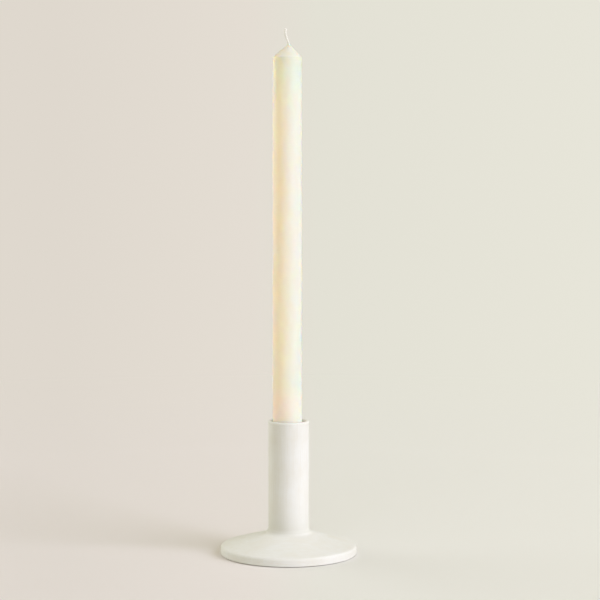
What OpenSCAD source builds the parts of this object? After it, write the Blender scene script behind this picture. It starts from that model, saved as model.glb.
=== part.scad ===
// Turned wooden candlestick with a dinner candle.
// A conical disc foot carries a plain round stem, joined by a glued tenon and one wood screw.
// A thin metal cup lines the socket, a felt disc sits in the underside, and the candle lifts out.
// Units are millimetres. The origin is the centre of the foot at table height, with Z up.

/* [Foot] */
// Diameter of the foot
foot_d = 101.2; // [80:0.1:150]
// Height of the foot's upright edge above the table
foot_edge_h = 4.7; // [3:0.1:12]
// Radius that rounds the upper edge of the foot
foot_edge_round = 2.2; // [1:0.1:8]
// Radius that rounds the lower edge of the foot
foot_under_round = 0.5; // [0.4:0.1:2]
// Slope of the foot's cone, in degrees from level
foot_slope = 16.3; // [12:0.1:25]
// Radius of the hollow where the foot meets the stem
neck_fillet = 4.8; // [0.5:0.1:5]
// Wood left between the felt and the bottom of the mortise
foot_web = 7; // [5:0.5:9]

/* [Stem] */
// Height of the candlestick from the table to the rim
stand_h = 100; // [80:0.5:300]
// Thickness of the wood around the candle socket
socket_wall = 2.5; // [2:0.1:8]
// Radius that eases the outer edge of the rim
rim_round = 1.2; // [0.2:0.1:1.4]
// Radius that eases the mouth of the socket
mouth_round = 1; // [0.1:0.1:1.1]
// Diameter of the tenon that is glued into the foot
tenon_d = 16; // [10:0.5:20]
// Bevel at the end of the tenon
tenon_bevel = 0.8; // [0.2:0.1:1.5]
// Glue gap around and below the tenon
glue_gap = 0.05; // [0.02:0.01:0.2]

/* [Candle cup] */
// Height of the cup, outside
cup_h = 21.8; // [15:0.5:40]
// Thickness of the cup's sheet metal
cup_wall = 0.4; // [0.3:0.05:1]
// Depth of the cup's edge below the rim
cup_drop = 2.2; // [1.5:0.1:4]
// Inside radius of the cup's bottom corner
cup_corner = 0.5; // [0.2:0.1:1]
// Gap between the cup and the wood
cup_fit = 0.05; // [0.02:0.01:0.2]

/* [Felt] */
// Thickness of the felt disc
felt_t = 1.8; // [1:0.1:3]
// How far the felt stands below the wood
felt_proud = 0.4; // [0.3:0.1:1]
// Width of the wood left around the felt
felt_margin = 6.5; // [4:0.5:15]
// Gap between the edge of the felt and its recess
felt_gap = 0.25; // [0.1:0.05:0.5]

/* [Screw] */
// Length of the screw
screw_l = 38; // [26:1:45]
// Outer diameter of the thread
screw_d = 4.5; // [3.5:0.1:6]
// Diameter of the thread's core
screw_core_d = 3; // [2.2:0.1:3.4]
// Distance from one thread crest to the next
screw_pitch = 2; // [1.5:0.1:3]
// Length of the screw's tapered point
screw_point = 6; // [4:0.5:10]
// Diameter of the countersunk head
screw_head_d = 8.8; // [7:0.1:12]
// Depth of the screw head below the felt
screw_sink = 0.2; // [0.1:0.1:1]
// Gap between the screw and the wood
screw_fit = 0.05; // [0.02:0.01:0.2]

/* [Candle] */
// Diameter of the candle at its base
candle_d = 21.9; // [18:0.1:28]
// How much thinner the candle is at its top
candle_taper = 0.65; // [0:0.05:2]
// Length of the wax
candle_l = 300; // [120:5:400]
// Bevel around the candle's base
candle_bevel = 1.1; // [0.5:0.1:2]
// Slope of the conical tip, in degrees from level
tip_slope = 42; // [25:1:60]
// Diameter of the wax where the wick leaves it
tip_d = 3.2; // [2.6:0.1:5]
// How far the tip and the wick sit off the candle's axis
tip_shift = 1.2; // [0:0.1:2]
// Difference between the cup's bore and the candle
candle_slack = 2.6; // [1:0.1:4]
// Smallest gap between the candle and the cup
candle_gap = 0.3; // [0.1:0.05:0.5]

/* [Wick] */
// Diameter of the wick
wick_d = 1.7; // [1:0.1:2.4]
// Gap between the wick and the wax
wick_fit = 0.05; // [0.02:0.01:0.1]
// Angle by which the wick leans over
wick_lean = 20; // [0:1:40]
// Angle by which the wick's end turns back
wick_return = 35; // [0:1:50]
// Radius of the bend where the wick leaves the wax
wick_low_bend = 8; // [2:0.5:20]
// Length of the straight stretch between the two bends
wick_straight = 4.2; // [1:0.1:15]
// Radius of the upper bend
wick_high_bend = 9.6; // [4:0.1:25]

/* [Hidden] */

eps = 0.01; // overlap that keeps cuts clean
arc_steps = 8; // points on each rounded edge
turn_fn = 128; // smoothness of turned shapes
wick_fn = 32; // smoothness of the wick

cup_id = candle_d + candle_slack;
cup_od = cup_id + 2 * cup_wall;
bore_d = cup_od + 2 * cup_fit;
stem_d = bore_d + 2 * socket_wall;
stem_r = stem_d / 2;
foot_r = foot_d / 2;

// Levels of the foot, from the table up
felt_top_z = felt_t;
mortise_z = felt_top_z + foot_web;
tenon_z = mortise_z + glue_gap;

// The cone's upper corner, where the edge round meets the slope
cone_low = [
    foot_r - foot_edge_round * (1 - sin(foot_slope)),
    foot_edge_h + foot_edge_round * cos(foot_slope)
];
function cone_z(r) = cone_low[1] + (cone_low[0] - r) * tan(foot_slope);

// The neck's hollow touches both the slope and the stem's side
neck_z = cone_z(stem_r + neck_fillet) + neck_fillet / cos(foot_slope);

// The rim's two rounds share the wall of the socket
rim_r = min(rim_round, 0.5 * socket_wall);
mouth_r = min(mouth_round, 0.45 * socket_wall);

// Levels of the socket and the candle
cup_top_z = stand_h - cup_drop;
cup_z = cup_top_z - cup_h;
bore_z = cup_z - cup_fit;
candle_z = cup_z + cup_wall;
candle_x = -(candle_slack / 2 - candle_gap);
candle_top_d = candle_d - candle_taper;

// The felt and its recess
felt_r = foot_r - felt_margin;
recess_r = felt_r + felt_gap;

// The screw
screw_z = felt_top_z + screw_sink;
head_land = 0.4; // upright edge of the screw head
head_cone = (screw_head_d - screw_d) / 2;
shank_l = 5; // plain length under the head
thread_z = screw_z + head_land + head_cone + shank_l;
thread_count = floor((screw_z + screw_l - screw_point - thread_z) / screw_pitch);
thread_top_z = thread_z + thread_count * screw_pitch;
crest_half = 0.12; // half the width of a crest
root_half = 0.35; // half the width of a root
drive_l = 5; // length of the cross recess
drive_w = 1.1; // width of the cross recess
drive_depth = 1.9; // depth of the cross recess

// Points of an arc about [x, z], from one angle to another
function arc(x, z, r, from, to) =
    [for (i = [0:arc_steps]) let (a = from + (to - from) * i / arc_steps) [x + r * cos(a), z + r * sin(a)]];

// Half outline of the screw, grown by a gap for the hole that it cuts
function screw_outline(gap) = concat(
    [
        [0, screw_z - gap],
        [screw_head_d / 2 + gap, screw_z - gap],
        [screw_head_d / 2 + gap, screw_z + head_land],
        [screw_d / 2 + gap, screw_z + head_land + head_cone + gap],
        [screw_d / 2 + gap, thread_z],
        [screw_core_d / 2 + gap, thread_z + crest_half]
    ],
    [for (i = [1:thread_count]) let (z = thread_z + i * screw_pitch) each [
        [screw_core_d / 2 + gap, z - screw_pitch / 2 - root_half],
        [screw_core_d / 2 + gap, z - screw_pitch / 2 + root_half],
        [screw_d / 2 + gap, z - crest_half],
        [screw_d / 2 + gap, z + crest_half]
    ]],
    [
        [screw_core_d / 2 + gap, thread_top_z + 3 * crest_half],
        [0, screw_z + screw_l + gap]
    ]
);

module turned(points) {
    rotate_extrude($fn = turn_fn) polygon(points);
}

// Solid of the screw, or of the hole that holds it
module screw_solid(gap) {
    turned(screw_outline(gap));
}

module foot_blank() {
    turned(concat(
        [[0, felt_proud]],
        arc(foot_r - foot_under_round, felt_proud + foot_under_round, foot_under_round, -90, 0),
        arc(foot_r - foot_edge_round, foot_edge_h, foot_edge_round, 0, 90 - foot_slope),
        arc(stem_r + neck_fillet, neck_z, neck_fillet, 270 - foot_slope, 180),
        [[0, neck_z]]
    ));
}

module foot() {
    color("white") difference() {
        foot_blank();
        // recess for the felt
        translate([0, 0, felt_proud - eps])
            cylinder(h = felt_top_z - felt_proud + eps, r = recess_r, $fn = turn_fn);
        // mortise for the stem's tenon
        translate([0, 0, mortise_z])
            cylinder(h = neck_z - mortise_z + eps, d = tenon_d + 2 * glue_gap, $fn = turn_fn);
        // countersink and clearance hole for the screw
        turned([
            [0, felt_top_z - eps],
            [screw_head_d / 2 + screw_fit, felt_top_z - eps],
            [screw_head_d / 2 + screw_fit, screw_z + head_land],
            [screw_d / 2 + screw_fit, screw_z + head_land + head_cone + screw_fit],
            [screw_d / 2 + screw_fit, mortise_z + eps],
            [0, mortise_z + eps]
        ]);
    }
}

module stem() {
    color("white") difference() {
        turned(concat(
            [[0, tenon_z]],
            [[tenon_d / 2 - tenon_bevel, tenon_z]],
            [[tenon_d / 2, tenon_z + tenon_bevel]],
            [[tenon_d / 2, neck_z]],
            [[stem_r, neck_z]],
            arc(stem_r - rim_r, stand_h - rim_r, rim_r, 0, 90),
            arc(bore_d / 2 + mouth_r, stand_h - mouth_r, mouth_r, 90, 180),
            [[bore_d / 2, bore_z], [0, bore_z]]
        ));
        screw_solid(screw_fit);
    }
}

module candle_cup() {
    color("silver") turned(concat(
        [[0, cup_z]],
        arc(cup_id / 2 - cup_corner, cup_z + cup_wall + cup_corner, cup_wall + cup_corner, -90, 0),
        [[cup_od / 2, cup_top_z], [cup_id / 2, cup_top_z]],
        arc(cup_id / 2 - cup_corner, cup_z + cup_wall + cup_corner, cup_corner, 0, -90),
        [[0, cup_z + cup_wall]]
    ));
}

module joint_screw() {
    color("goldenrod") difference() {
        screw_solid(0);
        for (a = [0, 90])
            rotate([0, 0, a])
                translate([-drive_l / 2, -drive_w / 2, screw_z - eps])
                    cube([drive_l, drive_w, drive_depth + eps]);
    }
}

module felt_pad() {
    color("dimgray") cylinder(h = felt_t, r = felt_r, $fn = turn_fn);
}

// The candle's round body, cut to a cone that stands slightly off its axis
module candle() {
    color("ivory") translate([candle_x, 0, candle_z]) difference() {
        intersection() {
            turned([
                [0, 0],
                [candle_d / 2 - candle_bevel, 0],
                [candle_d / 2, candle_bevel],
                [candle_top_d / 2, candle_l],
                [0, candle_l]
            ]);
            translate([tip_shift, 0, 0]) turned([
                [0, -eps],
                [candle_d, -eps],
                [candle_d, candle_l - (candle_d - tip_d / 2) * tan(tip_slope)],
                [tip_d / 2, candle_l],
                [0, candle_l]
            ]);
        }
        translate([tip_shift, 0, -eps])
            cylinder(h = candle_l + 2 * eps, d = wick_d + 2 * wick_fit, $fn = wick_fn);
    }
}

// A bend that starts upright at the origin and leans towards -X
module wick_bend(radius, angle) {
    translate([-radius, 0, 0])
        rotate([90, 0, 0])
            rotate_extrude(angle = angle, $fn = 4 * turn_fn)
                translate([radius, 0]) circle(d = wick_d, $fn = wick_fn);
}

module wick() {
    color("whitesmoke") translate([candle_x + tip_shift, 0, candle_z]) {
        cylinder(h = candle_l, d = wick_d, $fn = wick_fn);
        translate([0, 0, candle_l]) {
            wick_bend(wick_low_bend, wick_lean);
            translate([-wick_low_bend * (1 - cos(wick_lean)), 0, wick_low_bend * sin(wick_lean)])
                rotate([0, -wick_lean, 0]) {
                    cylinder(h = wick_straight, d = wick_d, $fn = wick_fn);
                    translate([0, 0, wick_straight])
                        mirror([1, 0, 0]) wick_bend(wick_high_bend, wick_return);
                }
        }
    }
}

foot();
stem();
candle_cup();
joint_screw();
felt_pad();
candle();
wick();
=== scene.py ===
import math

import bmesh
import bpy
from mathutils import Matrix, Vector, noise


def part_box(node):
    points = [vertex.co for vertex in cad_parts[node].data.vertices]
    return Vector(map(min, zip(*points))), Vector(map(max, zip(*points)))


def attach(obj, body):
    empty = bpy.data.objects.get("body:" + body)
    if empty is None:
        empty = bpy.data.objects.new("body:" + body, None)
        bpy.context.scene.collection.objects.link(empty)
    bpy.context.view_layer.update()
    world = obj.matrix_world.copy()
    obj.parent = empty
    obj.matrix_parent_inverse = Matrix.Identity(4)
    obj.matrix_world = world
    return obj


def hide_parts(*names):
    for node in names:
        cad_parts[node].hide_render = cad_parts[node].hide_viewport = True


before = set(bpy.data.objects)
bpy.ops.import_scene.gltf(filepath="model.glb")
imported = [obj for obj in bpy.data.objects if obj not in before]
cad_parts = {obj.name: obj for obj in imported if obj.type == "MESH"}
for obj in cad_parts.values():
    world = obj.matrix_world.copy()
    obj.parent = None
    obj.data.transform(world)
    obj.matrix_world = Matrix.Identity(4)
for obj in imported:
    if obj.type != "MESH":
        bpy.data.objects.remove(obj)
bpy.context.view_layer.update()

MM = 0.001

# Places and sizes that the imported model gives
FOOT_LOW, FOOT_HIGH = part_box("foot")
STEM_LOW, STEM_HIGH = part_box("stem")
CUP_LOW, CUP_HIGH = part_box("candle_cup")
SCREW_LOW, SCREW_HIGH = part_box("joint_screw")
FELT_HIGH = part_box("felt_pad")[1]
CANDLE_LOW, CANDLE_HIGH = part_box("candle")
WICK_LOW, WICK_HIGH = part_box("wick")

FOOT_R = FOOT_HIGH.x
STEM_R = STEM_HIGH.x
CUP_R = CUP_HIGH.x
HEAD_R = SCREW_HIGH.x
FELT_R = FELT_HIGH.x
CANDLE_R = (CANDLE_HIGH.x - CANDLE_LOW.x) / 2
CANDLE_X = (CANDLE_HIGH.x + CANDLE_LOW.x) / 2
NECK_Z = FOOT_HIGH.z
RIM_Z = STEM_HIGH.z
WICK_R = (WICK_HIGH.y - WICK_LOW.y) / 2
WICK_X = WICK_HIGH.x - WICK_R

# Turned edges and fits of the wood
EDGE_HEIGHT = 4.7 * MM
EDGE_ROUND = 2.2 * MM
UNDER_ROUND = 0.5 * MM
NECK_HOLLOW = 4.65 * MM
CONE_SLOPE = math.radians(16.3)
SEAM_EASE = 0.015 * MM
RIM_ROUND = 1.2 * MM
MOUTH_ROUND = 1.0 * MM
TENON_R = 8.0 * MM
TENON_BEVEL = 0.8 * MM
FIT_GAP = 0.05 * MM
FELT_GAP = 0.25 * MM
BORE_EASE = 0.1 * MM
TENON_EASE = 0.2 * MM

# The screw
THREAD_R = 2.25 * MM
CORE_R = 1.5 * MM
PITCH = 2.0 * MM
THREAD_FOOT = 0.62
SHANK_SHARE = 0.92
HEAD_LAND = 0.4 * MM
SHANK_L = 5.0 * MM
SHANK_FADE = 0.7 * MM
POINT_L = 6.0 * MM
DRIVE_L = 5.0 * MM
DRIVE_W = 1.1 * MM
DRIVE_DEPTH = 1.9 * MM
DRIVE_WALL = 0.3 * MM

# The cup and the felt
CUP_WALL = 0.4 * MM
CUP_CORNER = 0.9 * MM
CUP_LIP = 0.15 * MM
FELT_SOFT = 1.5 * MM

# The candle
CANDLE_TAPER = 0.325 * MM
CANDLE_BEVEL = 1.1 * MM
SHOULDER_ROUND = 0.9 * MM
TIP_SLOPE = math.radians(42)
TIP_R = 1.5 * MM
CLIMB_H = 0.9 * MM

# The wick's path, its three strands and the loose fibres at its end
LOW_BEND = 8.0 * MM
HIGH_BEND = 9.6 * MM
LEAN = math.radians(20)
RETURN = math.radians(35)
STRAIGHT = 4.2 * MM
WICK_STEP = 0.32 * MM
WICK_ROWS = 900
STRAND_R = 0.5 * MM
PLAIT_WIDE = 0.34 * MM
PLAIT_DEEP = 0.26 * MM
PLAIT_TURN = 3.4 * MM
FIBRES = 15
FIBRE_R = 0.045 * MM
FIBRE_ROWS = 5
FIBRE_SPREAD = 0.25 * MM
FIBRE_DROOP = 0.12 * MM

# How finely outlines are drawn. The hold is a point beside each arc, which keeps the face that follows flat
ARC_STEPS = 8
ARC_STEP = 0.25 * MM
ARC_HOLD = 0.06 * MM
HOLD_SHARE = 0.12
AXIS_R = 1e-9

# The camera stands in front, a little to the right, and looks slightly down
CAMERA_PLACE = Vector((0.0084, -1.4728, 0.3137))
CAMERA_TILT = math.radians(4.81)
CAMERA_LENS = 120.0
CAMERA_SENSOR = 36.0
CAMERA_NEAR = 0.05
CAMERA_FAR = 20


def srgb(*rgb):
    """A colour as the screen shows it, from 0 to 255, as linear values."""
    scaled = [c / 255 for c in rgb]
    return [c / 12.92 if c <= 0.04045 else ((c + 0.055) / 1.055) ** 2.4 for c in scaled]


# Paint: its own colour, a warmer cloud in it, thin paint over the fibres, and painted shade at the neck
PAINT = srgb(238, 237, 233)
PAINT_WARM = srgb(234, 231, 223)
PAINT_THIN = srgb(228, 222, 209)
PAINT_NECK_SHADE = srgb(221, 219, 210)

# Wax: its colours along the candle, with painted light above the rim and painted shade at the tip, how far
# each colour of light spreads in it, and how that reach changes
WAX = (0.875, 0.78, 0.738)
WAX_CLOUD = (0.875, 0.763, 0.702)
# Painted light: redder wax just above the rim, for the red light that the cup takes away
WAX_RIM_LIGHT = (0.965, 0.857, 0.735)
WAX_BASE = (0.88, 0.83, 0.7)
# Painted shade: darker, yellower wax at the tip
WAX_TIP_SHADE = (0.82, 0.8, 0.67)
WAX_SPREAD = (2.0, 0.45, 0.03)
WAX_DEPTH = 70 * MM
WAX_DEPTH_LOW = 8 * MM
WAX_DEPTH_TIP = 3 * MM

COTTON = srgb(243, 238, 226)
COTTON_PALE = srgb(253, 251, 246)
METAL = srgb(206, 205, 200)
METAL_STAIN = srgb(178, 175, 167)
ZINC = srgb(214, 184, 112)
ZINC_CLOUD = srgb(190, 168, 136)
FELT_DARK = srgb(70, 68, 64)
FELT_GREY = srgb(120, 117, 110)
FELT_SPECK = srgb(168, 164, 156)

# The backdrop's colours from left to right, with the place of each across the view
STAGE_COLOURS = (
    (0.1, srgb(223, 216, 206)),
    (0.42, srgb(228, 221, 211)),
    (0.53, srgb(227, 225, 213)),
    (1.0, srgb(231, 229, 217)),
)
STAGE_WIDTH = 0.15
STAGE_NEAR = 0.3
FLOOR_SHARE = (1.135, 1.135, 1.235)
FLOOR_PAPER = srgb(210, 205, 195)
FLOOR_FADE = (0.5, 1.1)
FLOOR_R = 4.0
FLOOR_Z = -0.02 * MM

# name, azimuth from the front towards the right, elevation, strength, angular size, colour
LAMPS = (
    ("key", 58, 26.5, 2.34, 40, (0.825, 0.845, 1.0)),
    ("side", 100, 18, 0.22, 60, (0.9, 0.9, 0.9)),
    ("fill", -118, 9, 1.95, 60, (0.9, 0.92, 0.97)),
    ("front", 8, 32, 0.7, 60, (0.74, 0.76, 1.0)),
)
LAMP_DISTANCE = 2
WORLD_TINT = (1.0, 0.96, 0.57)
WORLD_LEVEL = 0.385


# ---- outlines and meshes ----


def turned(point, angle):
    """A flat point, turned about the origin."""
    c = math.cos(angle)
    s = math.sin(angle)
    return Vector((point.x * c - point.y * s, point.x * s + point.y * c))


def rounded(corners, loop=False):
    """An outline through corners (r, z, radius), with each corner rounded by an arc."""
    points = []
    n = len(corners)
    for i, (r, z, radius) in enumerate(corners):
        here = Vector((r, z))
        if radius <= 0 or (not loop and i in (0, n - 1)):
            points.append(here)
            continue
        before = Vector(corners[i - 1][:2]) - here
        after = Vector(corners[(i + 1) % n][:2]) - here
        half = before.angle(after) / 2
        reach = radius / math.tan(half)
        middle = (before.normalized() + after.normalized()).normalized()
        centre = here + middle * radius / math.sin(half)
        start = here + before.normalized() * reach - centre
        turn = start.angle_signed(here + after.normalized() * reach - centre)
        hold = min(HOLD_SHARE * radius, ARC_HOLD)
        steps = max(ARC_STEPS, math.ceil(radius / ARC_STEP))
        points.append(here + before.normalized() * (reach + hold))
        for k in range(steps + 1):
            points.append(centre + turned(start, -turn * k / steps))
        points.append(here + after.normalized() * (reach + hold))
    return points


def spaced(points, step, loop=False):
    """The same outline with no stretch longer than step."""
    out = []
    ends = points[1:] + points[:1] if loop else points[1:]
    for a, b in zip(points, ends):
        count = max(1, math.ceil((b - a).length / step))
        out += [a.lerp(b, k / count) for k in range(count)]
    return out if loop else out + [points[-1]]


def mesh_piece(name, verts, faces):
    """A smooth-shaded object with its faces turned outwards."""
    mesh = bpy.data.meshes.new(name)
    mesh.from_pydata([tuple(v) for v in verts], [], faces)
    work = bmesh.new()
    work.from_mesh(mesh)
    bmesh.ops.recalc_face_normals(work, faces=work.faces)
    work.to_mesh(mesh)
    work.free()
    mesh.shade_smooth()
    piece = bpy.data.objects.new(name, mesh)
    bpy.context.scene.collection.objects.link(piece)
    return piece


def around_axis(r, angle, z):
    return Vector((r * math.cos(angle), r * math.sin(angle), z))


def lathe(name, outline, steps, loop=False, place=around_axis):
    """A turned piece. place(r, angle, z) gives a point's position, and a point on the axis is one vertex."""
    verts = []
    rings = []
    for p in outline:
        count = 1 if p.x < AXIS_R else steps
        rings.append((len(verts), count))
        verts += [place(max(p.x, 0), 2 * math.pi * k / steps, p.y) for k in range(count)]
    faces = []
    following = rings[1:] + rings[:1] if loop else rings[1:]
    for (a, na), (b, nb) in zip(rings, following):
        for k in range(steps):
            j = (k + 1) % steps
            ring = [a + k % na, a + j % na, b + j % nb, b + k % nb]
            faces.append(list(dict.fromkeys(ring)))
    return mesh_piece(name, verts, faces)


def uneven(piece, amount, size, seed, where):
    """Moves a surface in and out by hand-made unevenness of about this size, as much as where(point) says."""
    mesh = piece.data
    normals = [v.normal.copy() for v in mesh.vertices]
    for v, n in zip(mesh.vertices, normals):
        share = where(v.co)
        if share:
            v.co += n * amount * share * noise.noise(v.co / size + Vector((seed, 2 * seed, 0)))
    mesh.update()


# ---- materials ----


class Shader:
    """The node tree of a material or of the world, with short calls that make and link nodes."""

    # Sockets of the colour mix node
    MIX_FACTOR = 0
    MIX_A = 6
    MIX_B = 7
    MIX_RESULT = 2

    def __init__(self, owner, output):
        owner.use_nodes = True
        self.tree = owner.node_tree
        self.tree.nodes.clear()
        self.output = self.tree.nodes.new("ShaderNode" + output)

    def node(self, kind, settings=None, **inputs):
        made = self.tree.nodes.new("ShaderNode" + kind)
        for key, value in (settings or {}).items():
            setattr(made, key, value)
        for key, value in inputs.items():
            self.put(made.inputs[key.replace("_", " ")], value)
        return made

    def put(self, socket, value):
        """Links another node's socket, or sets a number or a colour."""
        if isinstance(value, bpy.types.NodeSocket):
            self.tree.links.new(value, socket)
        elif hasattr(value, "__len__") and len(value) == 3 and socket.type == "RGBA":
            socket.default_value = (*value, 1)
        else:
            socket.default_value = value

    def surface(self, shader):
        self.put(self.output.inputs["Surface"], shader)

    def coordinates(self, stretch=(1, 1, 1)):
        place = self.node("TexCoord").outputs["Object"]
        return self.node("Mapping", Vector=place, Scale=stretch).outputs["Vector"]

    def height(self, place):
        return self.node("SeparateXYZ", Vector=place).outputs["Z"]

    def length(self, place):
        made = self.node("VectorMath", {"operation": "LENGTH"})
        self.put(made.inputs[0], place)
        return made.outputs["Value"]

    def scaled(self, vector, share):
        made = self.node("VectorMath", {"operation": "MULTIPLY"})
        self.put(made.inputs[0], vector)
        made.inputs[1].default_value = share
        return made.outputs[0]

    def noise(self, vector, scale, detail=4.0, rough=0.55, warp=0.0):
        settings = {"Scale": scale, "Detail": detail, "Roughness": rough, "Distortion": warp}
        return self.node("TexNoise", Vector=vector, **settings).outputs["Fac"]

    def ranged(self, value, source, target):
        """The value, with the range source carried to the range target and held at its ends."""
        low, high = source
        to_low, to_high = target
        made = self.node("MapRange", Value=value, From_Min=low, From_Max=high, To_Min=to_low, To_Max=to_high)
        return made.outputs["Result"]

    def mix(self, factor, a, b):
        made = self.node("Mix", {"data_type": "RGBA"})
        self.put(made.inputs[self.MIX_FACTOR], factor)
        self.put(made.inputs[self.MIX_A], a)
        self.put(made.inputs[self.MIX_B], b)
        return made.outputs[self.MIX_RESULT]

    def math(self, operation, a, b):
        made = self.node("Math", {"operation": operation})
        self.put(made.inputs[0], a)
        self.put(made.inputs[1], b)
        return made.outputs[0]

    def mix_shaders(self, factor, a, b):
        made = self.node("MixShader", Fac=factor)
        self.put(made.inputs[1], a.outputs[0])
        self.put(made.inputs[2], b.outputs[0])
        return made

    def bump(self, height, distance, strength, normal=None):
        made = self.node("Bump", Height=height, Distance=distance, Strength=strength)
        if normal:
            self.put(made.inputs["Normal"], normal)
        return made.outputs["Normal"]

    def principled(self, **inputs):
        made = self.node("BsdfPrincipled", **inputs)
        self.surface(made.outputs[0])
        return made


def new_material(name):
    material = bpy.data.materials.new(name)
    return material, Shader(material, "OutputMaterial")


def disc_marks(s, plain, cloud):
    """Coordinates that run outwards over the disc, so that turning marks circle it, with a slight waver."""
    radius = s.length(s.scaled(plain, (1, 1, 0)))
    return s.node("CombineXYZ", X=radius, Z=s.math("MULTIPLY", cloud, 1.5 * MM)).outputs[0]


def painted_wood(name, grain, on_disc):
    """Matt white paint on turned wood, with painted shade that darkens it round the neck. grain stretches the
    wood's fibres.
    """
    material, s = new_material(name)
    plain = s.coordinates()
    fibres = s.noise(s.coordinates(grain), scale=1100, detail=5, rough=0.6, warp=0.4)
    paint = s.noise(plain, scale=2600, detail=3, rough=0.6)
    cloud = s.noise(plain, scale=55, detail=3)
    marks = disc_marks(s, plain, cloud) if on_disc else s.coordinates((0.02, 0.02, 1))
    turning = s.noise(marks, scale=900, detail=3, rough=0.7)
    # Painted shade: the paint turns darker into the hollow where the stem meets the foot
    below = s.ranged(s.height(plain), (NECK_Z - 5.5 * MM, NECK_Z - 2.5 * MM), (0, 1))
    above = s.ranged(s.height(plain), (NECK_Z, NECK_Z + 30 * MM), (1, 0))
    neck_shade = s.math("POWER", s.math("MINIMUM", below, above), 2.0)
    tone = s.mix(s.ranged(cloud, (0.35, 0.7), (0, 1)), PAINT, PAINT_WARM)
    tone = s.mix(s.ranged(fibres, (0.3, 0.55), (0.35, 0)), tone, PAINT_THIN)
    tone = s.mix(neck_shade, tone, PAINT_NECK_SHADE)
    relief = s.bump(fibres, distance=0.06 * MM, strength=0.5)
    relief = s.bump(turning, distance=0.05 * MM, strength=0.35, normal=relief)
    relief = s.bump(paint, distance=0.03 * MM, strength=0.5, normal=relief)
    rough = s.ranged(paint, (0.3, 0.7), (0.6, 0.78))
    s.principled(Base_Color=tone, Roughness=rough, Normal=relief, Specular_IOR_Level=0.35)
    return material


def candle_wax():
    """Ivory wax: red light goes deepest and comes out on the shaded side, which turns it amber.

    Less light comes up from the cup and down from the tip, so the wax has a shorter reach there. Its colour
    holds painted light just above the rim, redder to stand in for the red light that the cup takes away, and
    painted shade at the tip, darker and yellower. The part that stands in the cup has the plain ivory of the
    rest when it is lifted out.
    """
    material, s = new_material("candle_wax")
    plain = s.coordinates()
    height = s.height(plain)
    cloud = s.noise(s.coordinates((1, 1, 0.35)), scale=160, detail=4, rough=0.6, warp=0.3)
    bloom = s.noise(plain, scale=900, detail=4, rough=0.65)
    above_rim = s.ranged(height, (RIM_Z - 2 * MM, RIM_Z + 28 * MM), (0, 1))
    in_cup = s.ranged(height, (RIM_Z - 6 * MM, RIM_Z - 2 * MM), (1, 0))
    in_tip = s.ranged(height, (CANDLE_HIGH.z - 16 * MM, CANDLE_HIGH.z - 6 * MM), (0, 1))
    tone = s.mix(s.ranged(cloud, (0.35, 0.68), (0, 1)), WAX, WAX_CLOUD)
    # Painted light just above the rim and painted shade at the tip
    tone = s.mix(above_rim, WAX_RIM_LIGHT, tone)
    tone = s.mix(in_cup, tone, WAX_BASE)
    tone = s.mix(in_tip, tone, WAX_TIP_SHADE)
    low_depth = s.ranged(above_rim, (0, 1), (WAX_DEPTH_LOW, WAX_DEPTH))
    tip_depth = s.ranged(in_tip, (0, 1), (WAX_DEPTH, WAX_DEPTH_TIP))
    relief = s.bump(cloud, distance=0.12 * MM, strength=0.4)
    relief = s.bump(bloom, distance=0.02 * MM, strength=0.5, normal=relief)
    rough = s.ranged(bloom, (0.3, 0.7), (0.36, 0.5))
    wax = s.principled(Base_Color=tone, Roughness=rough, Normal=relief, IOR=1.44, Specular_IOR_Level=0.45)
    wax.subsurface_method = "BURLEY"
    s.put(wax.inputs["Subsurface Weight"], 1.0)
    s.put(wax.inputs["Subsurface Radius"], WAX_SPREAD)
    s.put(wax.inputs["Subsurface Scale"], s.math("MINIMUM", low_depth, tip_depth))
    return material


def waxed_cotton():
    """Off-white cotton with fine fibres along the strands."""
    material, s = new_material("waxed_cotton")
    fibres = s.noise(s.coordinates((1, 1, 0.25)), scale=5200, detail=3, rough=0.6)
    tone = s.mix(s.ranged(fibres, (0.3, 0.7), (0, 1)), COTTON, COTTON_PALE)
    rough = s.ranged(fibres, (0.3, 0.7), (0.45, 0.65))
    relief = s.bump(fibres, distance=0.04 * MM, strength=0.5)
    s.principled(Base_Color=tone, Roughness=rough, Normal=relief, Specular_IOR_Level=0.3)
    return material


def drawn_metal():
    """Thin sheet metal with fine rings left by drawing."""
    material, s = new_material("drawn_metal")
    rings = s.noise(s.coordinates((0.03, 0.03, 1)), scale=3200, detail=3, rough=0.7)
    stain = s.noise(s.coordinates(), scale=240, detail=4)
    tone = s.mix(s.ranged(stain, (0.4, 0.7), (0, 1)), METAL, METAL_STAIN)
    rough = s.ranged(rings, (0.3, 0.7), (0.26, 0.42))
    relief = s.bump(rings, distance=0.02 * MM, strength=0.5)
    s.principled(Base_Color=tone, Metallic=1.0, Roughness=rough, Normal=relief)
    return material


def plated_steel():
    """Yellow zinc plate with its faint clouding."""
    material, s = new_material("plated_steel")
    cloud = s.noise(s.coordinates(), scale=420, detail=4)
    grain = s.noise(s.coordinates(), scale=4200, detail=3)
    tone = s.mix(s.ranged(cloud, (0.35, 0.65), (0, 1)), ZINC, ZINC_CLOUD)
    rough = s.ranged(grain, (0.3, 0.7), (0.28, 0.45))
    relief = s.bump(grain, distance=0.01 * MM, strength=0.5)
    s.principled(Base_Color=tone, Metallic=1.0, Roughness=rough, Normal=relief)
    return material


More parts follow.
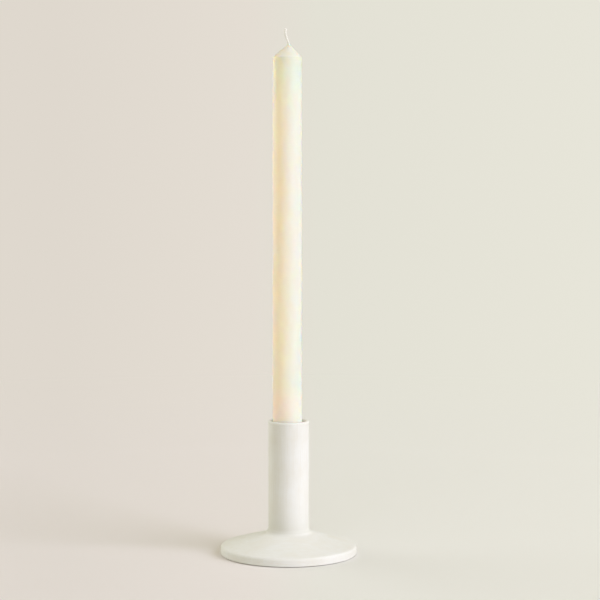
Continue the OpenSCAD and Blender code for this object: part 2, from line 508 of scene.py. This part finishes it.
def pressed_felt():
    """Grey felt of matted hairs, with paler specks."""
    material, s = new_material("pressed_felt")
    plain = s.coordinates()
    hairs = s.noise(plain, scale=1500, detail=6, rough=0.7, warp=2.5)
    specks = s.noise(plain, scale=5200, detail=2, rough=0.6)
    tone = s.mix(s.ranged(hairs, (0.35, 0.65), (0, 1)), FELT_DARK, FELT_GREY)
    tone = s.mix(s.ranged(specks, (0.6, 0.75), (0, 0.5)), tone, FELT_SPECK)
    relief = s.bump(hairs, distance=0.35 * MM, strength=0.8)
    felt = s.principled(Base_Color=tone, Roughness=0.95, Normal=relief, Specular_IOR_Level=0.15)
    s.put(felt.inputs["Sheen Weight"], 0.35)
    s.put(felt.inputs["Sheen Roughness"], 0.6)
    return material


# ---- pieces ----


def finished(piece, material, body, node):
    """Gives a piece its material and its body, and hides the CAD node that it stands for."""
    piece.data.materials.append(material)
    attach(piece, body)
    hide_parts(node)
    return piece


def foot_outline():
    """The foot's section: its underside, edge, cone and neck, then the bores from the top down."""
    corner_z = EDGE_HEIGHT + EDGE_ROUND * math.tan((math.pi / 2 - CONE_SLOPE) / 2)
    neck_corner_z = corner_z + (FOOT_R - STEM_R) * math.tan(CONE_SLOPE)
    recess_r = FELT_R + FELT_GAP
    mortise_r = TENON_R + FIT_GAP
    mortise_z = STEM_LOW.z - FIT_GAP
    hole_r = THREAD_R + FIT_GAP
    sink_r = HEAD_R + FIT_GAP
    sink_z = SCREW_LOW.z + HEAD_LAND
    return rounded([
        (recess_r, FOOT_LOW.z, 2 * BORE_EASE),
        (FOOT_R, FOOT_LOW.z, UNDER_ROUND),
        (FOOT_R, corner_z, EDGE_ROUND),
        (STEM_R, neck_corner_z, NECK_HOLLOW),
        (STEM_R, NECK_Z, SEAM_EASE),
        (mortise_r, NECK_Z, BORE_EASE),
        (mortise_r, mortise_z, 3 * BORE_EASE),
        (hole_r, mortise_z, BORE_EASE),
        (hole_r, sink_z + sink_r - hole_r, BORE_EASE),
        (sink_r, sink_z, BORE_EASE / 2),
        (sink_r, FELT_HIGH.z, BORE_EASE),
        (recess_r, FELT_HIGH.z, BORE_EASE),
    ], loop=True)


def make_foot():
    def in_sight(co):
        """1 on the cone and the edge, and 0 where the foot meets other pieces."""
        return 1.0 if co.xy.length > STEM_R + 1.5 * MM and co.z > FELT_HIGH.z else 0.0

    piece = lathe("turned_foot", spaced(foot_outline(), 1.2 * MM, loop=True), 288, loop=True)
    uneven(piece, 0.09 * MM, 14 * MM, 3, in_sight)
    paint = painted_wood("painted_foot", grain=(0.05, 1, 1), on_disc=True)
    return finished(piece, paint, "candlestick", "foot")


def stem_outline():
    """The stem's section: the socket's floor and wall, the rim, the side, the tenon and the pilot hole."""
    bore_r = CUP_R + FIT_GAP
    pilot_r = CORE_R + FIT_GAP
    return rounded([
        (0, CUP_LOW.z - FIT_GAP, 0),
        (bore_r, CUP_LOW.z - FIT_GAP, 2 * TENON_EASE),
        (bore_r, RIM_Z, MOUTH_ROUND),
        (STEM_R, RIM_Z, RIM_ROUND),
        (STEM_R, NECK_Z, SEAM_EASE),
        (TENON_R, NECK_Z, BORE_EASE),
        (TENON_R, STEM_LOW.z + TENON_BEVEL, TENON_EASE),
        (TENON_R - TENON_BEVEL, STEM_LOW.z, TENON_EASE),
        (pilot_r, STEM_LOW.z, TENON_EASE),
        (pilot_r, SCREW_HIGH.z, 3 * BORE_EASE),
        (0, SCREW_HIGH.z + pilot_r, 0),
    ])


def make_stem():
    def in_sight(co):
        """1 on the side, fading to 0 at the neck, and 0 in the socket and on the tenon."""
        if co.xy.length > CUP_R + 1 * MM and co.z > NECK_Z:
            return min(1.0, (co.z - NECK_Z) / (3 * MM))
        return 0.0

    piece = lathe("turned_stem", spaced(stem_outline(), 1.2 * MM), 192)
    uneven(piece, 0.07 * MM, 16 * MM, 7, in_sight)
    paint = painted_wood("painted_stem", grain=(1, 1, 0.05), on_disc=False)
    return finished(piece, paint, "candlestick", "stem")


def make_cup():
    outline = rounded([
        (0, CUP_LOW.z, 0),
        (CUP_R, CUP_LOW.z, CUP_CORNER),
        (CUP_R, CUP_HIGH.z, CUP_LIP),
        (CUP_R - CUP_WALL, CUP_HIGH.z, CUP_LIP),
        (CUP_R - CUP_WALL, CUP_LOW.z + CUP_WALL, CUP_CORNER - CUP_WALL),
        (0, CUP_LOW.z + CUP_WALL, 0),
    ])
    piece = lathe("drawn_cup", spaced(outline, 1.5 * MM), 128)
    return finished(piece, drawn_metal(), "candlestick", "candle_cup")


def thread_radius(angle, z, low, high):
    """The screw's surface: a core with one helical ridge that fades in and out."""
    phase = ((z - low) / PITCH - angle / (2 * math.pi)) % 1
    ridge = max(0.0, 1 - abs(phase - 0.5) * 2 / THREAD_FOOT)
    fade = min(1.0, (z - low) / PITCH, (high - z) / POINT_L + 0.25)
    core = CORE_R * min(1.0, (high - z) / POINT_L + 0.02)
    return core + (THREAD_R - CORE_R) * ridge * max(0.0, fade)


def drive_depth(x, y):
    """How deep the cross recess is at this place on the head."""
    along_x = min(DRIVE_L / 2 - abs(x), DRIVE_W / 2 - abs(y))
    along_y = min(DRIVE_L / 2 - abs(y), DRIVE_W / 2 - abs(x))
    return DRIVE_DEPTH * max(0.0, min(1.0, max(along_x, along_y) / DRIVE_WALL))


def make_screw():
    head_top = SCREW_LOW.z + HEAD_LAND
    shank_z = head_top + HEAD_R - THREAD_R
    thread_z = shank_z + SHANK_L
    neck = rounded([
        (0, SCREW_LOW.z, 0),
        (HEAD_R, SCREW_LOW.z, BORE_EASE),
        (HEAD_R, head_top, BORE_EASE),
        (THREAD_R * SHANK_SHARE, shank_z, 4 * BORE_EASE),
        (THREAD_R * SHANK_SHARE, thread_z, 2 * BORE_EASE),
        (CORE_R, thread_z + SHANK_FADE, 0),
    ])
    outline = spaced(neck, 0.35 * MM)
    low = outline[-1].y
    high = SCREW_HIGH.z
    rows = math.ceil((high - low) / (PITCH / 10))
    outline += [Vector((CORE_R, low + (high - low) * k / rows)) for k in range(1, rows)]
    outline.append(Vector((0, high)))

    def place(r, angle, z):
        if z > low and r > 0:
            r = thread_radius(angle, z, low, high)
        point = around_axis(r, angle, z)
        if z < SCREW_LOW.z + 0.01 * MM:
            point.z += drive_depth(point.x, point.y)
        return point

    piece = lathe("wood_screw", outline, 48, place=place)
    return finished(piece, plated_steel(), "candlestick", "joint_screw")


def make_felt():
    def at_edge(co):
        return 1.0 if 0.3 * MM < co.z < FELT_SOFT else 0.0

    def below_top(co):
        return 1.0 if co.z < FELT_SOFT else 0.0

    corners = [(0, 0, 0), (FELT_R, 0, 0.35 * MM), (FELT_R, FELT_HIGH.z, 0.3 * MM), (0, FELT_HIGH.z, 0)]
    piece = lathe("felt_disc", spaced(rounded(corners), 0.8 * MM), 240)
    uneven(piece, 0.09 * MM, 1.1 * MM, 11, at_edge)
    uneven(piece, 0.05 * MM, 2.4 * MM, 12, below_top)
    for v in piece.data.vertices:
        v.co.z = max(v.co.z, 0.0)
    finished(piece, pressed_felt(), "candlestick", "felt_pad")
    return piece


def make_candle():
    base_z = CANDLE_LOW.z
    top_z = CANDLE_HIGH.z
    top_r = CANDLE_R - CANDLE_TAPER
    hole_r = WICK_R + FIT_GAP
    cone_h = (top_r - TIP_R) * math.tan(TIP_SLOPE)
    outline = rounded([
        (hole_r, base_z, 0.2 * MM),
        (CANDLE_R - CANDLE_BEVEL, base_z, 0.5 * MM),
        (CANDLE_R, base_z + CANDLE_BEVEL, 0.5 * MM),
        (top_r, top_z - cone_h, SHOULDER_ROUND),
        (TIP_R, top_z, 1.0 * MM),
        (hole_r + 0.1 * MM, top_z + CLIMB_H, 0.08 * MM),
        (hole_r, top_z + CLIMB_H, 0.04 * MM),
    ], loop=True)

    def place(r, angle, z):
        """The side is round about the candle's middle, and the hole is round about the wick."""
        inwards = max(0.0, 1 - (r - hole_r) / (top_r - hole_r))
        return around_axis(r, angle, z) + Vector((CANDLE_X + (WICK_X - CANDLE_X) * inwards, 0, 0))

    def in_sight(co):
        """1 on the side and the cone, and 0 at the wick and in the cup."""
        return 1.0 if (co.xy - Vector((CANDLE_X, 0))).length > 4 * MM and co.z > RIM_Z else 0.0

    piece = lathe("wax_candle", spaced(outline, 1.8 * MM, loop=True), 160, loop=True, place=place)
    uneven(piece, 0.06 * MM, 22 * MM, 21, in_sight)
    return finished(piece, candle_wax(), "candle", "candle")


def wick_path():
    """Points up the wick's middle, from the candle's base to the wick's end, each with its lean."""
    rise = CANDLE_HIGH.z - CANDLE_LOW.z
    path = []
    for k in range(WICK_ROWS + 1):
        path.append((Vector((WICK_X, 0, CANDLE_LOW.z + rise * k / WICK_ROWS)), 0.0))
    here = path[-1][0].copy()
    lean = 0.0
    for length, bend in ((LOW_BEND * LEAN, LEAN), (STRAIGHT, 0.0), (HIGH_BEND * RETURN, -RETURN)):
        count = math.ceil(length / WICK_STEP)
        for _ in range(count):
            lean += bend / count / 2
            here = here + Vector((-math.sin(lean), 0, math.cos(lean))) * (length / count)
            lean += bend / count / 2
            path.append((here.copy(), lean))
    return path


def add_tube(verts, faces, centres, radii, sides):
    """Adds a closed tube along centres, with a flat face at each end, to verts and faces."""
    base = len(verts)
    last = len(centres) - 1
    for i, (centre, radius) in enumerate(zip(centres, radii)):
        along = (centres[min(i + 1, last)] - centres[max(i - 1, 0)]).normalized()
        across = along.cross(Vector((0, 1, 0))).normalized()
        up = across.cross(along)
        for k in range(sides):
            a = 2 * math.pi * k / sides
            verts.append(centre + (across * math.cos(a) + up * math.sin(a)) * radius)
    for i in range(last):
        for k in range(sides):
            a = base + i * sides + k
            b = base + i * sides + (k + 1) % sides
            faces.append([a, b, b + sides, a + sides])
    faces.append([base + k for k in reversed(range(sides))])
    faces.append([base + last * sides + k for k in range(sides)])


def strand(number, path, lengths):
    """The middle line and the radii of one plaited strand, which splays and thins at the wick's end."""
    centres = []
    radii = []
    for (p, lean), length in zip(path, lengths):
        left = lengths[-1] - length
        t = 2 * math.pi * (length / PLAIT_TURN + number / 3)
        splay = 1 + 0.5 * max(0.0, 1 - left / (1.5 * MM))
        side = Vector((math.cos(lean), 0, math.sin(lean)))
        across = side * PLAIT_WIDE * splay * math.sin(t)
        centres.append(p + across + Vector((0, PLAIT_DEEP * splay * math.sin(2 * t), 0)))
        radii.append(STRAND_R * min(1.0, 0.55 + left / (1.2 * MM)))
    return centres, radii


def loose_fibre(k, end):
    """The middle line of a loose fibre that leaves a strand's end and droops a little."""
    root = end + Vector((noise.noise((k, 0, 5)), noise.noise((k, 3, 5)), -0.6)) * FIBRE_SPREAD
    lean = Vector((noise.noise((k, 7, 1)) * 0.9 + 0.1, noise.noise((k, 1, 9)) * 0.9, 0.75)).normalized()
    span = (0.55 + 0.35 * noise.noise((k, 5, 5))) * MM
    shares = [i / FIBRE_ROWS for i in range(FIBRE_ROWS + 1)]
    return [root + lean * span * share - Vector((0, 0, FIBRE_DROOP * share**2)) for share in shares]


def make_wick():
    """Three cotton strands plaited along the wick's path, with a few loose fibres at the cut end."""
    path = wick_path()
    lengths = [0.0]
    for (a, _), (b, _) in zip(path, path[1:]):
        lengths.append(lengths[-1] + (b - a).length)
    verts = []
    faces = []
    ends = []
    for number in range(3):
        centres, radii = strand(number, path, lengths)
        add_tube(verts, faces, centres, radii, 10)
        ends.append(centres[-1])
    for k in range(FIBRES):
        radii = [FIBRE_R * (1 - 0.12 * i) for i in range(FIBRE_ROWS + 1)]
        add_tube(verts, faces, loose_fibre(k, ends[k % 3]), radii, 6)
    # What stands clear of the wax comes down until the fibres are no higher than the CAD wick
    lower = Vector((0, 0, min(0.0, WICK_HIGH.z - max(v.z for v in verts))))
    verts = [v + lower if v.z > CANDLE_HIGH.z + 2 * MM else v for v in verts]
    piece = mesh_piece("plaited_wick", verts, faces)
    return finished(piece, waxed_cotton(), "candle", "wick")


# ---- studio ----


def backdrop_colour(s, place, start):
    """Pale paper, a little pinker on the left and greener on the right, spread out from the point start."""
    parts = s.node("SeparateXYZ", Vector=place)
    depth = s.math("MAXIMUM", s.math("SUBTRACT", parts.outputs["Y"], start.y), STAGE_NEAR)
    side = s.math("DIVIDE", s.math("SUBTRACT", parts.outputs["X"], start.x), depth)
    ramp = s.node("ValToRGB", Fac=s.ranged(side, (-STAGE_WIDTH, STAGE_WIDTH), (0, 1)))
    marks = ramp.color_ramp.elements
    while len(marks) < len(STAGE_COLOURS):
        marks.new(0.5)
    for mark, (at, colour) in zip(marks, STAGE_COLOURS):
        mark.position = at
        mark.color = (*colour, 1)
    return ramp.outputs["Color"]


def seen_rays(s):
    """1 for rays that show the backdrop, in the camera, in metal or through glass, and 0 for all others."""
    rays = s.node("LightPath")
    mirrored = s.math("MAXIMUM", rays.outputs["Is Glossy Ray"], rays.outputs["Is Transmission Ray"])
    return s.math("MAXIMUM", rays.outputs["Is Camera Ray"], mirrored)


def floor_material():
    """Paper that the lamps light near the object, and that fades into the backdrop further off."""
    material, s = new_material("floor_paper")
    place = s.node("TexCoord").outputs["Object"]
    colour = backdrop_colour(s, place, CAMERA_PLACE)
    paper = s.node("BsdfDiffuse", Color=s.scaled(colour, FLOOR_SHARE))
    glow = s.node("Emission", Color=colour, Strength=1.0)
    seen = s.mix_shaders(s.ranged(s.length(place), FLOOR_FADE, (0, 1)), paper, glow)
    bounce = s.node("BsdfDiffuse", Color=FLOOR_PAPER)
    s.surface(s.mix_shaders(seen_rays(s), bounce, seen).outputs[0])
    return material


def make_floor():
    middle = Vector((0, FLOOR_Z))
    edge = Vector((FLOOR_R, FLOOR_Z))
    piece = lathe("floor", spaced([middle, edge], 0.25), 96)
    if piece.data.polygons[0].normal.z < 0:
        piece.data.flip_normals()
    piece.data.materials.append(floor_material())


def make_world():
    """Soft light from all round, and the backdrop's colours where it is seen."""
    world = bpy.data.worlds.new("studio")
    bpy.context.scene.world = world
    s = Shader(world, "OutputWorld")
    soft = s.node("Background", Color=WORLD_TINT, Strength=WORLD_LEVEL)
    around = s.node("TexCoord").outputs["Generated"]
    shown = s.node("Background", Color=backdrop_colour(s, around, Vector((0, 0, 0))), Strength=1.0)
    s.surface(s.mix_shaders(seen_rays(s), soft, shown).outputs[0])


def make_lamps():
    for name, azimuth, elevation, level, spread, tint in LAMPS:
        lamp = bpy.data.lights.new(name, "SUN")
        lamp.energy = level
        lamp.angle = math.radians(spread)
        lamp.color = tint
        holder = bpy.data.objects.new(name, lamp)
        bpy.context.scene.collection.objects.link(holder)
        a = math.radians(azimuth)
        e = math.radians(elevation)
        towards = Vector((math.sin(a) * math.cos(e), -math.cos(a) * math.cos(e), math.sin(e)))
        holder.rotation_mode = "QUATERNION"
        holder.rotation_quaternion = towards.to_track_quat("Z", "Y")
        holder.location = towards * LAMP_DISTANCE


def make_camera():
    data = bpy.data.cameras.new("camera")
    data.lens = CAMERA_LENS
    data.sensor_width = CAMERA_SENSOR
    data.clip_start = CAMERA_NEAR
    data.clip_end = CAMERA_FAR
    holder = bpy.data.objects.new("camera", data)
    bpy.context.scene.collection.objects.link(holder)
    holder.location = CAMERA_PLACE
    holder.rotation_euler = (math.pi / 2 - CAMERA_TILT, 0, 0)
    bpy.context.scene.camera = holder


make_camera()
make_foot()
make_stem()
make_cup()
make_screw()
make_felt()
make_candle()
make_wick()
make_floor()
make_world()
make_lamps()
bpy.context.scene.view_settings.view_transform = "Standard"
